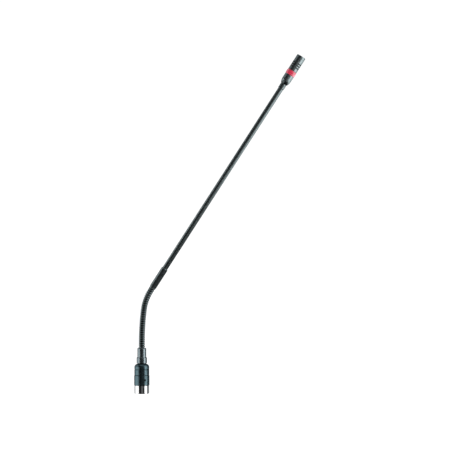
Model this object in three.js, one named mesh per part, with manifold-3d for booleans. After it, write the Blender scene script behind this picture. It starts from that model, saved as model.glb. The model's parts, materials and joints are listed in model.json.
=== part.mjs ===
// A gooseneck podium microphone on a three-pin plug, with a light ring below its head.
// Lengths are millimetres. +Z runs up the plug from its open end, and the neck leans
// towards +X in the XZ plane. Heights are stations along the centreline, which is the
// plug's own axis up to the first bend.
import * as THREE from 'three';
import { mergeVertices } from 'three/addons/utils/BufferGeometryUtils.js';
import Module from 'manifold-3d';

const wasm = await Module();
wasm.setup();

// ---- Driving dimensions ----

const GAP = 0.3; // clearance between neighbouring pieces
const CLOSE_FIT = 0.15; // clearance round the capsule and the washer
const SOLDER = 0.05; // what lies between a small component and its board
const EDGE = 0.4; // width of a broken edge
const MARGIN = 1; // how far a cutter runs past what it cuts
const SIDES = 24; // sides of a turned piece
const INNER_SIDES = 16; // sides of a round piece inside the casings
const PIN_SIDES = 10; // sides of a pin, a screw or a small hole
const CURVE_STEPS = 6;

// Stations along the centreline
const BARREL_TOP = 10.7;
const LOWER_SHELL_TOP = 23.5;
const RING_TOP = 30.8;
const CAP_TOP = 38.4;
const FERRULE_BOTTOM = 39.2;
const FERRULE_STEP = 46.7;
const COIL_BOTTOM = 58.8;
const COIL_TOP = 139.3;
const COUPLING_TOP = 169.0;
const TUBE_TOP = 446.0;
const COLLAR_TOP = 453.0;
const LIGHT_BOTTOM = 467.3;
const LIGHT_TOP = 473.1;
const HEAD_TOP = 495.6;

// The centreline: straight, then two bends, then straight again
const FIRST_BEND = 66.3;
const BENDS = [
  { radius: 344.6, turn: THREE.MathUtils.degToRad(7) },
  { radius: 60.1, turn: THREE.MathUtils.degToRad(25.8) },
];

// Plug
const BARREL_RADIUS = 9.5;
const SOCKET_RADIUS = 8.1;
const SOCKET_FLOOR = 14;
const FITTED_RADIUS = 8.5; // what slides into the shells
const SHELL_BORE = FITTED_RADIUS + GAP;
const INSERT_STEP = 15.4;
const INSERT_TOP = 20;
const KEYWAY = { width: 3.4, depth: 0.7, length: 9 };
const PIN = { radius: 1.2, tail: 0.8, circle: 5.55, bottom: 1.5, top: 24.2, nose: 0.8 };
const PIN_ANGLES = [30, 150, 270];
const EARTH_TAB = { inner: 4, outer: 7.3, thickness: 0.3, width: 2.4 };

// Housing above the plug
const LOWER_SHELL_RADIUS = 9.9;
const UPPER_SHELL_RADIUS = 9.6;
const SPIGOT_BOTTOM = 20.6;
const SPIGOT_BORE = 7.6;
const CAP_SHOULDER = { radius: 4.3, turn: 72, steps: 5 };
const CAP_CEILING = 36.6;
const CAP_HOLE = 4.2;
const CAP_FLAT = 6.3; // radius where the shoulder meets the flat top
const CAP_WALL_TOP = 34.3; // where the bore starts to close in under the top
const LOCK_SCREW = { height: 17.8, angle: -63, radius: 0.8, inner: 7.3, outer: 9.1, key: 0.4 };
const HEX = 6;

// Preamplifier board
const BOARD = { width: 12.4, thickness: 1.2, bottom: 24.5, top: 32.9 };
const CAPACITOR = { radius: 2, height: 5.4, bottom: 25.6, offset: 2.9 };
const CHIP = { width: 5, thickness: 1.5, height: 4, bottom: 27 };

// Ferrule that holds the neck
const FERRULE_TAIL = 3.9;
const FERRULE_TAIL_BOTTOM = 33.5;
const FERRULE_WIDE = 6.7;
const FERRULE_NARROW = 5.75;
const FERRULE_SEAT = 43.2;
const NUT = { acrossFlats: 10, thickness: 2.3 };

// Neck: ball-ended links, each a stretch of the wound coil between two pivots
const LINKS = 11;
const PIVOT_SPACING = (COIL_TOP - COIL_BOTTOM) / (LINKS + 1);
const FIRST_PIVOT = COIL_BOTTOM + PIVOT_SPACING / 2;
const LINK_SIDES = 14;
const COIL_RADIUS = 4;
const BALL_RADIUS = 3;
const CAVITY_RADIUS = BALL_RADIUS + 0.4;
const BALL_WAIST = -35; // degrees below a ball's equator where its neck begins
const BALL_STEPS = 3;
const CAVITY_STEPS = 2;
const SHOULDER_DROP = 2.15; // from a pivot down to the shoulder below its ball
const SKIRT = 0.4; // from a pivot down to the end of the link above it
const CABLE_WAY = 1.9;
const CABLE = { radius: 1.5, sides: 8, steps: 60, bottom: 33.2, top: 484.5 };

// Coupling sleeve, tube and collar
const COUPLING_RADIUS = 4.4;
const COUPLING_FOOT = { radius: 4.15, height: 1.2 };
const COUPLING_WEB = { bottom: 153.4, top: 154.6 };
const COIL_SPIGOT = 3.4;
const TUBE_RADIUS = 3.5;
const TUBE_BORE = 2.3;
const COLLAR_RADIUS = 4;
const COLLAR_BORE = 3.2;
const TUBE_SPIGOT_LENGTH = 3.5;

// Head
const HEAD_TAPER = { radius: 4.25, length: 6.5, steps: 5 };
const HEAD_RADIUS = 6.15;
const HEAD_BORE = 5.5;
const HEAD_FLOOR = 461.5;
const LIGHT_RADIUS = 6.6;
const LIGHT_SPIGOT = 5.2;
const LIGHT_BORE = 4.6;
const LIGHT_SPIGOT_LENGTH = 3.3;
const LED_BOARD = { outer: 4.3, inner: 2.1, bottom: 469.2, thickness: 0.8 };
const LED = { count: 4, width: 1.6, depth: 0.9, height: 0.7, circle: 3.3 };
const CAPSULE_HOUSING_RADIUS = 6.1;
const SLOT = { columns: 4, width: 1.2, turn: 62, web: 28, first: 5.6, pitch: 3, rows: 3 };
const SLOT_WEB_ANGLE = -95; // where the middle of one web faces, anticlockwise from +X
const HEAD_LIP = { radius: 4.9, thickness: 0.8 };
const RIM_STEPS = 2;
const CAPSULE = { radius: 4.85, bottom: 485.9, top: 492.3 };
const CAPSULE_BOARD = { radius: 4, bottom: 484.9, thickness: 0.8 };
const SCREEN = { outer: 5.2, inner: 5, bottom: 477, top: 485.6 };
const GASKET = { outer: 5.35, bottom: 487, top: 491 };
const FOAM = { radius: 5, bottom: 492.6, thickness: 1.2 };
const GRILLE = { radius: 5.2, bottom: 494.1, thickness: 0.4, hole: 0.7, ringRadius: 2.6 };
const GRILLE_HOLES = 7;

// ---- Finishes ----

const CHROME = { color: 0xe4e6e6, roughness: 0.08, metalness: 1 };
const BLACK_METAL = { color: 0x2b3338, roughness: 0.35, metalness: 0.6 };
const GUNMETAL = { color: 0x59646a, roughness: 0.3, metalness: 0.9 };
const COIL_BLACK = { color: 0x1c2527, roughness: 0.45, metalness: 0.5 };
const TIN = { color: 0xb9b7ae, roughness: 0.3, metalness: 1 };
const BRASS = { color: 0xb99a55, roughness: 0.3, metalness: 1 };
const BLACK_PLASTIC = { color: 0x17191b, roughness: 0.5, metalness: 0 };
const RED_LIGHT = { color: 0xc83450, roughness: 0.3, metalness: 0 };
const BOARD_GREEN = { color: 0x1f5a35, roughness: 0.5, metalness: 0 };
const RUBBER = { color: 0x1a1a1b, roughness: 0.8, metalness: 0 };
const DARK_CLOTH = { color: 0x121314, roughness: 0.95, metalness: 0 };
const LED_WHITE = { color: 0xf0dcd8, roughness: 0.4, metalness: 0 };

// ---- Shape helpers ----

const radians = THREE.MathUtils.degToRad;

function arc(centre, radius, from, to, steps) {
  const points = [];
  for (let step = 0; step <= steps; step += 1) {
    const angle = radians(from + ((to - from) * step) / steps);
    points.push([centre[0] + radius * Math.cos(angle), centre[1] + radius * Math.sin(angle)]);
  }
  return points;
}

// Revolves an outline of [radius, height] points, anticlockwise seen with Z up.
// An outline that doesn't start and end on the axis is closed on itself.
function turned(outline, sides = SIDES) {
  const onAxis = outline[0][0] === 0 && outline.at(-1)[0] === 0;
  const closed = onAxis ? outline : [...outline, outline[0]];
  const points = closed.map(([radius, height]) => new THREE.Vector2(radius, height));
  return new THREE.LatheGeometry(points, sides).rotateX(Math.PI / 2);
}

function ring(outer, inner, bottom, top, sides) {
  return turned([[outer, bottom], [outer, top], [inner, top], [inner, bottom]], sides);
}

function disc(radius, bottom, top, sides) {
  return turned([[0, bottom], [radius, bottom], [radius, top], [0, top]], sides);
}

function block(width, depth, bottom, top) {
  return new THREE.BoxGeometry(width, depth, top - bottom).translate(0, 0, (bottom + top) / 2);
}

function plate(outline, bottom, top) {
  const settings = { depth: top - bottom, bevelEnabled: false, curveSegments: CURVE_STEPS };
  return new THREE.ExtrudeGeometry(outline, settings).translate(0, 0, bottom);
}

// A round rod whose axis points away from the Z axis at a height, at an angle from +X
function spoke(radius, inner, outer, height, angle) {
  return disc(radius, inner, outer, PIN_SIDES)
    .rotateY(Math.PI / 2)
    .rotateZ(radians(angle))
    .translate(0, 0, height);
}

function solid(geometry) {
  const bare = geometry.clone();
  bare.deleteAttribute('normal');
  bare.deleteAttribute('uv');
  const merged = mergeVertices(bare);
  const corners = merged.index.array;
  const triVerts = [];
  for (let first = 0; first < corners.length; first += 3) {
    const [a, b, c] = corners.slice(first, first + 3);
    if (a !== b && b !== c && c !== a) triVerts.push(a, b, c);
  }
  return new wasm.Manifold(new wasm.Mesh({
    numProp: 3,
    vertProperties: new Float32Array(merged.attributes.position.array),
    triVerts: new Uint32Array(triVerts),
  }));
}

function cut(geometry, cutters) {
  let left = solid(geometry);
  for (const cutter of cutters) left = left.subtract(solid(cutter));
  const { vertProperties, triVerts } = left.getMesh();
  const result = new THREE.BufferGeometry();
  result.setAttribute('position', new THREE.BufferAttribute(vertProperties, 3));
  result.setIndex(new THREE.BufferAttribute(triVerts, 1));
  result.computeVertexNormals();
  return result;
}

function add(group, name, geometry, finish) {
  const mesh = new THREE.Mesh(geometry, new THREE.MeshStandardMaterial(finish));
  mesh.name = name;
  group.add(mesh);
  return mesh;
}

// ---- Centreline ----

// Where the centreline is at a station, and how far it leans from +Z towards +X
function neckAt(station) {
  const place = { x: 0, z: Math.min(station, FIRST_BEND), lean: 0 };
  let left = Math.max(station - FIRST_BEND, 0);
  for (const { radius, turn } of BENDS) {
    const next = place.lean + Math.min(left / radius, turn);
    place.x += radius * (Math.cos(place.lean) - Math.cos(next));
    place.z += radius * (Math.sin(next) - Math.sin(place.lean));
    left -= (next - place.lean) * radius;
    place.lean = next;
  }
  place.x += left * Math.sin(place.lean);
  place.z += left * Math.cos(place.lean);
  return place;
}

class Centreline extends THREE.Curve {
  constructor(bottom, top) {
    super();
    this.bottom = bottom;
    this.top = top;
  }

  getPoint(share) {
    const { x, z } = neckAt(this.bottom + share * (this.top - this.bottom));
    return new THREE.Vector3(x, 0, z);
  }
}

// ---- Plug ----

function plugBarrel() {
  const tailTop = INSERT_STEP - GAP;
  const shell = turned([
    [SOCKET_RADIUS + EDGE, 0],
    [BARREL_RADIUS - EDGE, 0],
    [BARREL_RADIUS, EDGE],
    [BARREL_RADIUS, BARREL_TOP - GAP],
    [FITTED_RADIUS, BARREL_TOP - GAP],
    [FITTED_RADIUS, tailTop],
    [SOCKET_RADIUS, tailTop],
    [SOCKET_RADIUS, EDGE],
  ]);
  const keyway = block(KEYWAY.width, 2 * KEYWAY.depth, -MARGIN, KEYWAY.length)
    .translate(0, SOCKET_RADIUS, 0);
  return cut(shell, [keyway]);
}

function pinPlaces() {
  return PIN_ANGLES.map((angle) => [
    PIN.circle * Math.cos(radians(angle)),
    PIN.circle * Math.sin(radians(angle)),
  ]);
}

function plugInsert() {
  const body = turned([
    [0, SOCKET_FLOOR],
    [SOCKET_RADIUS - GAP, SOCKET_FLOOR],
    [SOCKET_RADIUS - GAP, INSERT_STEP],
    [FITTED_RADIUS, INSERT_STEP],
    [FITTED_RADIUS, INSERT_TOP],
    [0, INSERT_TOP],
  ]);
  const holes = pinPlaces().map(([x, y]) =>
    disc(PIN.radius + GAP, SOCKET_FLOOR - MARGIN, INSERT_TOP + MARGIN, PIN_SIDES)
      .translate(x, y, 0));
  const { radius, inner, height, angle } = LOCK_SCREW;
  const screwRecess = spoke(radius + GAP, inner - GAP, FITTED_RADIUS + MARGIN, height, angle);
  return cut(body, [...holes, screwRecess]);
}

function contactPin() {
  const shoulder = INSERT_TOP + GAP;
  return turned([
    [0, PIN.bottom],
    [PIN.radius / 2, PIN.bottom],
    [PIN.radius, PIN.bottom + PIN.nose],
    [PIN.radius, shoulder],
    [PIN.tail, shoulder],
    [PIN.tail, PIN.top],
    [0, PIN.top],
  ], PIN_SIDES);
}

// A bent strip that joins the cap to the board's earth
function earthTab() {
  const { inner, outer, thickness, width } = EARTH_TAB;
  const bottom = INSERT_TOP + GAP;
  const profile = new THREE.Shape([
    new THREE.Vector2(inner, bottom),
    new THREE.Vector2(outer, bottom),
    new THREE.Vector2(outer, PIN.top),
    new THREE.Vector2(outer - thickness, PIN.top),
    new THREE.Vector2(outer - thickness, bottom + thickness),
    new THREE.Vector2(inner, bottom + thickness),
  ]);
  return plate(profile, -width / 2, width / 2).rotateX(Math.PI / 2).rotateZ(Math.PI / 2);
}

function addPlug(group) {
  add(group, 'plug_barrel', plugBarrel(), CHROME);
  add(group, 'plug_insert', plugInsert(), BLACK_PLASTIC);
  pinPlaces().forEach(([x, y], index) => {
    add(group, `contact_pin_${index + 1}`, contactPin(), TIN).position.set(x, y, 0);
  });
  add(group, 'earth_tab', earthTab(), BRASS);
}

// ---- Housing ----

function lowerShell() {
  const shell = ring(LOWER_SHELL_RADIUS, SHELL_BORE, BARREL_TOP, LOWER_SHELL_TOP);
  const { radius, inner, height, angle } = LOCK_SCREW;
  return cut(shell, [spoke(radius + GAP, inner, LOWER_SHELL_RADIUS + MARGIN, height, angle)]);
}

function lockScrew() {
  const { radius, inner, outer, height, angle, key: keyRadius } = LOCK_SCREW;
  const key = new THREE.CylinderGeometry(keyRadius, keyRadius, radius, HEX)
    .rotateZ(Math.PI / 2)
    .rotateZ(radians(angle))
    .translate(outer * Math.cos(radians(angle)), outer * Math.sin(radians(angle)), height);
  return cut(spoke(radius, inner, outer, height, angle), [key]);
}

function cap() {
  const { radius, turn, steps } = CAP_SHOULDER;
  const shoulderCentre = [UPPER_SHELL_RADIUS - radius, CAP_TOP - radius];
  return turned([
    [SPIGOT_BORE, SPIGOT_BOTTOM],
    [FITTED_RADIUS, SPIGOT_BOTTOM],
    [FITTED_RADIUS, RING_TOP + GAP],
    [UPPER_SHELL_RADIUS, RING_TOP + GAP],
    ...arc(shoulderCentre, radius, 0, turn, steps),
    [CAP_FLAT, CAP_TOP],
    [CAP_HOLE, CAP_TOP],
    [CAP_HOLE, CAP_CEILING],
    [CAP_FLAT, CAP_CEILING],
    [SPIGOT_BORE, CAP_WALL_TOP],
  ]);
}

function addBoard(group) {
  const { width, thickness, bottom, top } = BOARD;
  const face = thickness / 2 + SOLDER;
  add(group, 'preamp_board', block(width, thickness, bottom, top), BOARD_GREEN);
  [-1, 1].forEach((side, index) => {
    const can = disc(CAPACITOR.radius, CAPACITOR.bottom, CAPACITOR.bottom + CAPACITOR.height,
      INNER_SIDES);
    add(group, `board_capacitor_${index + 1}`, can, TIN)
      .position.set(side * CAPACITOR.offset, -face - CAPACITOR.radius, 0);
  });
  const chip = block(CHIP.width, CHIP.thickness, CHIP.bottom, CHIP.bottom + CHIP.height);
  add(group, 'board_chip', chip, BLACK_PLASTIC).position.y = face + CHIP.thickness / 2;
}

function addHousing(group) {
  add(group, 'housing_lower_shell', lowerShell(), BLACK_METAL);
  add(group, 'lock_screw', lockScrew(), TIN);
  add(group, 'housing_ring',
    ring(UPPER_SHELL_RADIUS, SHELL_BORE, LOWER_SHELL_TOP + GAP, RING_TOP), BLACK_METAL);
  add(group, 'housing_cap', cap(), BLACK_METAL);
  addBoard(group);
}

// ---- Ferrule ----

function ferrule() {
  return turned([
    [CABLE_WAY, FERRULE_TAIL_BOTTOM],
    [FERRULE_TAIL, FERRULE_TAIL_BOTTOM],
    [FERRULE_TAIL, FERRULE_BOTTOM],
    [FERRULE_WIDE, FERRULE_BOTTOM],
    [FERRULE_WIDE, FERRULE_STEP - EDGE],
    [FERRULE_WIDE - EDGE, FERRULE_STEP],
    [FERRULE_NARROW, FERRULE_STEP],
    [FERRULE_NARROW, COIL_BOTTOM - EDGE],
    [FERRULE_NARROW - EDGE, COIL_BOTTOM],
    [COIL_RADIUS + GAP, COIL_BOTTOM],
    [COIL_RADIUS + GAP, FERRULE_SEAT],
    [CABLE_WAY, FERRULE_SEAT],
  ]);
}

function ferruleNut() {
  const cornerRadius = NUT.acrossFlats / Math.sqrt(3);
  const outline = new THREE.Shape();
  arc([0, 0], cornerRadius, 0, 360 - 360 / HEX, HEX - 1).forEach(([x, y], index) => {
    if (index === 0) outline.moveTo(x, y);
    else outline.lineTo(x, y);
  });
  outline.holes.push(new THREE.Path().absarc(0, 0, FERRULE_TAIL + GAP, 0, 2 * Math.PI, true));
  const top = CAP_CEILING - GAP;
  return plate(outline, top - NUT.thickness, top);
}

function addFerrule(group) {
  const washer = ring(FERRULE_NARROW, CAP_HOLE, CAP_TOP + CLOSE_FIT, FERRULE_BOTTOM - CLOSE_FIT);
  add(group, 'ferrule_washer', washer, RUBBER);
  add(group, 'neck_ferrule', ferrule(), GUNMETAL);
  add(group, 'ferrule_nut', ferruleNut(), BRASS);
}

// ---- Neck ----

// A link's upper end: its shoulder, and a ball about a pivot at a height
function ballEnd(height) {
  const rim = THREE.MathUtils.radToDeg(Math.acos(CABLE_WAY / BALL_RADIUS));
  const ball = arc([0, height], BALL_RADIUS, BALL_WAIST, rim, BALL_STEPS);
  return [
    [COIL_RADIUS, height - SHOULDER_DROP],
    [ball[0][0], height - SHOULDER_DROP],
    ...ball,
  ];
}

// A link's lower end: a cavity about a pivot at a height, and the skirt below it
function socketEnd(height) {
  const roof = THREE.MathUtils.radToDeg(Math.acos(CABLE_WAY / CAVITY_RADIUS));
  return [
    ...arc([0, height], CAVITY_RADIUS, roof, 0, CAVITY_STEPS),
    [CAVITY_RADIUS, height - SKIRT],
    [COIL_RADIUS, height - SKIRT],
  ];
}

function addNeckFoot(group) {
  const seat = FERRULE_SEAT + GAP;
  const outline = [[CABLE_WAY, seat], [COIL_RADIUS, seat], ...ballEnd(FIRST_PIVOT)];
  add(group, 'neck_coil_00', turned(outline, LINK_SIDES), COIL_BLACK);
}

function addNeckLinks(group) {
  for (let link = 1; link <= LINKS; link += 1) {
    const below = neckAt(FIRST_PIVOT + (link - 1) * PIVOT_SPACING);
    const above = neckAt(FIRST_PIVOT + link * PIVOT_SPACING);
    const length = Math.hypot(above.x - below.x, above.z - below.z);
    const outline = [...socketEnd(0), ...ballEnd(length)];
    const name = `neck_coil_${String(link).padStart(2, '0')}`;
    const mesh = add(group, name, turned(outline, LINK_SIDES), COIL_BLACK);
    mesh.position.set(below.x, 0, below.z);
    mesh.rotation.y = Math.atan2(above.x - below.x, above.z - below.z);
  }
}

function addNeckTop(group) {
  const outline = [
    ...socketEnd(FIRST_PIVOT + LINKS * PIVOT_SPACING),
    [COIL_RADIUS, COIL_TOP - GAP],
    [COIL_SPIGOT, COIL_TOP - GAP],
    [COIL_SPIGOT, COUPLING_WEB.bottom - GAP],
    [CABLE_WAY, COUPLING_WEB.bottom - GAP],
  ];
  add(group, 'neck_coil_12', turned(outline, LINK_SIDES), COIL_BLACK);
}

function addCable(group) {
  const { radius, sides, steps, bottom, top } = CABLE;
  const section = new THREE.Shape(
    arc([0, 0], radius, 0, 360 - 360 / sides, sides - 1).map(([x, y]) => new THREE.Vector2(x, y)),
  );
  const extrudePath = new Centreline(bottom, top);
  const geometry = new THREE.ExtrudeGeometry(section, { steps, extrudePath, bevelEnabled: false });
  add(group, 'signal_cable', geometry, RUBBER);
}

// ---- Coupling sleeve, tube and collar ----

function couplingSleeve() {
  const lowerBore = COIL_SPIGOT + GAP;
  const upperBore = TUBE_RADIUS + GAP;
  return turned([
    [COUPLING_FOOT.radius, COIL_TOP],
    [COUPLING_FOOT.radius, COIL_TOP + COUPLING_FOOT.height],
    [COUPLING_RADIUS, COIL_TOP + COUPLING_FOOT.height],
    [COUPLING_RADIUS, COUPLING_TOP - EDGE],
    [COUPLING_RADIUS - EDGE, COUPLING_TOP],
    [upperBore, COUPLING_TOP],
    [upperBore, COUPLING_WEB.top],
    [CABLE_WAY, COUPLING_WEB.top],
    [CABLE_WAY, COUPLING_WEB.bottom],
    [lowerBore, COUPLING_WEB.bottom],
    [lowerBore, COIL_TOP],
  ]);
}

function neckTube() {
  const spigot = COLLAR_BORE - GAP;
  const bottom = COUPLING_WEB.top + GAP;
  return turned([
    [TUBE_BORE, bottom],
    [TUBE_RADIUS, bottom],
    [TUBE_RADIUS, TUBE_TOP - GAP],
    [spigot, TUBE_TOP - GAP],
    [spigot, TUBE_TOP + TUBE_SPIGOT_LENGTH],
    [TUBE_BORE, TUBE_TOP + TUBE_SPIGOT_LENGTH],
  ]);
}

function addTube(group) {
  add(group, 'coupling_sleeve', couplingSleeve(), BLACK_METAL);
  add(group, 'neck_tube', neckTube(), BLACK_METAL);
  add(group, 'head_collar', ring(COLLAR_RADIUS, COLLAR_BORE, TUBE_TOP, COLLAR_TOP), BLACK_METAL);
}

// ---- Head ----

// The rounded taper from the collar up to the head's full width
function taper(bottom) {
  const { radius, length, steps } = HEAD_TAPER;
  const points = [];
  for (let step = 0; step <= steps; step += 1) {
    const left = 1 - step / steps;
    points.push([HEAD_RADIUS - (HEAD_RADIUS - radius) * left * left, bottom + length * (1 - left)]);
  }
  return points;
}

function headBase() {
  const tail = COLLAR_BORE - GAP;
  const tailBottom = TUBE_TOP + TUBE_SPIGOT_LENGTH + GAP;
  return turned([
    [CABLE_WAY, tailBottom],
    [tail, tailBottom],
    [tail, COLLAR_TOP + GAP],
    ...taper(COLLAR_TOP + GAP),
    [HEAD_RADIUS, LIGHT_BOTTOM - GAP],
    [HEAD_BORE, LIGHT_BOTTOM - GAP],
    [HEAD_BORE, HEAD_FLOOR],
    [CABLE_WAY, HEAD_FLOOR],
  ]);
}

function lightRing() {
  return turned([
    [LIGHT_BORE, LIGHT_BOTTOM - LIGHT_SPIGOT_LENGTH],
    [LIGHT_SPIGOT, LIGHT_BOTTOM - LIGHT_SPIGOT_LENGTH],
    [LIGHT_SPIGOT, LIGHT_BOTTOM],
    [LIGHT_RADIUS, LIGHT_BOTTOM],
    [LIGHT_RADIUS, LIGHT_TOP],
    [LIGHT_SPIGOT, LIGHT_TOP],
    [LIGHT_SPIGOT, LIGHT_TOP + LIGHT_SPIGOT_LENGTH],
    [LIGHT_BORE, LIGHT_TOP + LIGHT_SPIGOT_LENGTH],
  ]);
}

function addLights(group) {
  const { outer, inner, bottom, thickness } = LED_BOARD;
  const top = bottom + thickness;
  add(group, 'led_board', ring(outer, inner, bottom, top), BOARD_GREEN);
  for (let index = 0; index < LED.count; index += 1) {
    const angle = (index * 2 * Math.PI) / LED.count;
    const led = block(LED.depth, LED.width, top + SOLDER, top + SOLDER + LED.height);
    led.translate(LED.circle, 0, 0).rotateZ(angle);
    add(group, `led_${index + 1}`, led, LED_WHITE);
  }
}

// One sound slot, a curved bar that cuts through the housing's wall
function slotCutter(height, middle) {
  const outline = new THREE.Shape();
  const [from, to] = [radians(middle - SLOT.turn / 2), radians(middle + SLOT.turn / 2)];
  outline.absarc(0, 0, CAPSULE_HOUSING_RADIUS + MARGIN, from, to, false);
  outline.absarc(0, 0, HEAD_BORE - GAP, to, from, true);
  outline.closePath();
  return plate(outline, height - SLOT.width / 2, height + SLOT.width / 2);
}

function capsuleHousing() {
  const lipBottom = HEAD_TOP - HEAD_LIP.thickness;
  const shell = turned([
    [HEAD_BORE, LIGHT_TOP + GAP],
    [CAPSULE_HOUSING_RADIUS, LIGHT_TOP + GAP],
    ...arc([CAPSULE_HOUSING_RADIUS - EDGE, HEAD_TOP - EDGE], EDGE, 0, 90, RIM_STEPS),
    [HEAD_LIP.radius, HEAD_TOP],
    [HEAD_LIP.radius, lipBottom],
    [HEAD_BORE, lipBottom],
  ]);
  const cutters = [];
  for (let row = 0; row < SLOT.rows; row += 1) {
    for (let column = 0; column < SLOT.columns; column += 1) {
      const middle = SLOT_WEB_ANGLE + (column + 0.5) * (SLOT.turn + SLOT.web);
      cutters.push(slotCutter(LIGHT_TOP + SLOT.first + row * SLOT.pitch, middle));
    }
  }
  return cut(shell, cutters);
}

function frontGrille() {
  const { radius, bottom, thickness, hole, ringRadius } = GRILLE;
  const punch = disc(hole, bottom - MARGIN, bottom + MARGIN, PIN_SIDES);
  const holes = [punch];
  for (let index = 1; index < GRILLE_HOLES; index += 1) {
    const angle = (index * 2 * Math.PI) / (GRILLE_HOLES - 1);
    holes.push(punch.clone()
      .translate(ringRadius * Math.cos(angle), ringRadius * Math.sin(angle), 0));
  }
  return cut(disc(radius, bottom, bottom + thickness), holes);
}

function addCapsule(group) {
  const boardTop = CAPSULE_BOARD.bottom + CAPSULE_BOARD.thickness;
  add(group, 'capsule_board',
    disc(CAPSULE_BOARD.radius, CAPSULE_BOARD.bottom, boardTop, INNER_SIDES), BOARD_GREEN);
  add(group, 'capsule', disc(CAPSULE.radius, CAPSULE.bottom, CAPSULE.top), TIN);
  add(group, 'capsule_gasket',
    ring(GASKET.outer, CAPSULE.radius + CLOSE_FIT, GASKET.bottom, GASKET.top), RUBBER);
  add(group, 'acoustic_screen', ring(SCREEN.outer, SCREEN.inner, SCREEN.bottom, SCREEN.top),
    DARK_CLOTH);
  add(group, 'front_foam',
    disc(FOAM.radius, FOAM.bottom, FOAM.bottom + FOAM.thickness, INNER_SIDES), DARK_CLOTH);
}

function addHead(group) {
  add(group, 'head_base', headBase(), BLACK_METAL);
  add(group, 'light_ring', lightRing(), RED_LIGHT);
  addLights(group);
  add(group, 'capsule_housing', capsuleHousing(), BLACK_METAL);
  addCapsule(group);
  add(group, 'front_grille', frontGrille(), BLACK_METAL);
}

// ---- Assembly ----

// A group whose Z axis is the straight upper part of the centreline, by station
function upperGroup() {
  const { x, z, lean } = neckAt(COIL_TOP);
  const group = new THREE.Group();
  group.rotation.y = lean;
  group.position.set(x - COIL_TOP * Math.sin(lean), 0, z - COIL_TOP * Math.cos(lean));
  return group;
}

const microphone = new THREE.Group();
addPlug(microphone);
addHousing(microphone);
addFerrule(microphone);
addNeckFoot(microphone);
addNeckLinks(microphone);
addCable(microphone);

const upper = upperGroup();
addNeckTop(upper);
addTube(upper);
addHead(upper);
microphone.add(upper);

export default microphone;
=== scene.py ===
import json
import math
from collections import namedtuple

import bmesh
import bpy
import numpy as np
from mathutils import Matrix, Vector, noise

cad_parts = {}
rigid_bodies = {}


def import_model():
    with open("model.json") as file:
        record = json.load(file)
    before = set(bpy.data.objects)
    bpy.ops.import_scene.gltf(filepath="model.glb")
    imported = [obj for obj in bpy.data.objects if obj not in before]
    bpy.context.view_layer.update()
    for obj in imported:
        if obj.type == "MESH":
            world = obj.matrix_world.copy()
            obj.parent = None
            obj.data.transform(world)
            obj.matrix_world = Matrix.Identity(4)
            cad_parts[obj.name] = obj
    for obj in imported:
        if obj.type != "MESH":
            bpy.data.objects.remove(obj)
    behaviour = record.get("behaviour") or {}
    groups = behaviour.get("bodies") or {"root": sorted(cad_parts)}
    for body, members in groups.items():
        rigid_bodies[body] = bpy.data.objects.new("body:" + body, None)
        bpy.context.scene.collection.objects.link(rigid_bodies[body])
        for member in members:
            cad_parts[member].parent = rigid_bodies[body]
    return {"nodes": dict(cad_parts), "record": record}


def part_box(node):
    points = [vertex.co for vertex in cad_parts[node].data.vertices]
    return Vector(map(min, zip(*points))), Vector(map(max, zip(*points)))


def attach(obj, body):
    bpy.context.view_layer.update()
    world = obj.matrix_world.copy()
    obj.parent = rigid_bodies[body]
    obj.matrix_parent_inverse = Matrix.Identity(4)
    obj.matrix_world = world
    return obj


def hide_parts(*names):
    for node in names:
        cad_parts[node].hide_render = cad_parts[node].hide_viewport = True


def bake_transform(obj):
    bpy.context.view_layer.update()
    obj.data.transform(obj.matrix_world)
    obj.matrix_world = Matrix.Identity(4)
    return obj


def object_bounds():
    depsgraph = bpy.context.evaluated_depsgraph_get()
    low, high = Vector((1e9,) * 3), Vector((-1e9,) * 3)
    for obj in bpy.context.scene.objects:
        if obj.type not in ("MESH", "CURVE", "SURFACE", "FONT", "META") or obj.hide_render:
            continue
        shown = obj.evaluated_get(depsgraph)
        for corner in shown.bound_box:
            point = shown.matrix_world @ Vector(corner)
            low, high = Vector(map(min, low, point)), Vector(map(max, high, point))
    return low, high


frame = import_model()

cad_low, cad_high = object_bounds()

MM = 0.001
record = frame["record"]
behaviour = record["behaviour"]
slots = {row["node"]: row["material_slot"] for row in record["subparts"]}
body_of = {node: body for body, nodes in behaviour["bodies"].items() for node in nodes}

# ---- Driving dimensions ----

GAP = 0.3  # clearance between neighbouring pieces
SEGMENTS = 128  # round a turned piece
FINE_SEGMENTS = 168  # round the slotted head
SMALL_SEGMENTS = 48  # round a pin, a screw or a small hole
ARC_STEPS = 4  # along a rounded corner
CUT_PAST = 1.0  # how far a cutter reaches past what it cuts

# The centreline: straight to the first bend, two bends of (radius, turn), then straight again
FIRST_BEND = 66.3
BENDS = [(344.6, math.radians(7)), (60.1, math.radians(25.8))]

# The part of the coil that shows: a round wire and a flatter one between its turns
COIL_BOTTOM = 58.8
COIL_TOP = 139.3
COIL_PITCH = 2.9
COIL_RADIUS = 4.2
ROUND_WIRE = {"radius": 0.92, "half_width": 0.84}
FLAT_WIRE = {"depth": 0.75, "half_width": 0.52, "fall": 0.3}
GROOVE_DEPTH = 1.1
CABLE_WAY = 1.9  # radius of the way through the coil
CABLE_RADIUS = 1.5
SPIGOT_RADIUS = 3.4  # of the coil's upper end, inside the coupling
LAST_COIL = "neck_coil_12"  # the stretch that ends in it

HEAD_BORE = 5.5  # radius inside the head's casings
SCREW_ANGLE = -63  # which way the lock screw faces, anticlockwise from +X

DULL_EDGE = (0.45, 0.5, 0.52, 1)  # what a black coat reflects where it is seen edge on

# Painted light along a piece, as how many times as bright its coat becomes, the height at which it
# is that bright, and the height from which it changes: painted shade on the head's lower taper, and a
# painted highlight that makes the tube paler towards its top
PAINTED_SHADE_TAPER = (0.24, 454.5, 458.5)
PAINTED_HIGHLIGHT_TUBE = (1.38, 420, 200)

IN_PLACE = Matrix.Identity(4)

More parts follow.
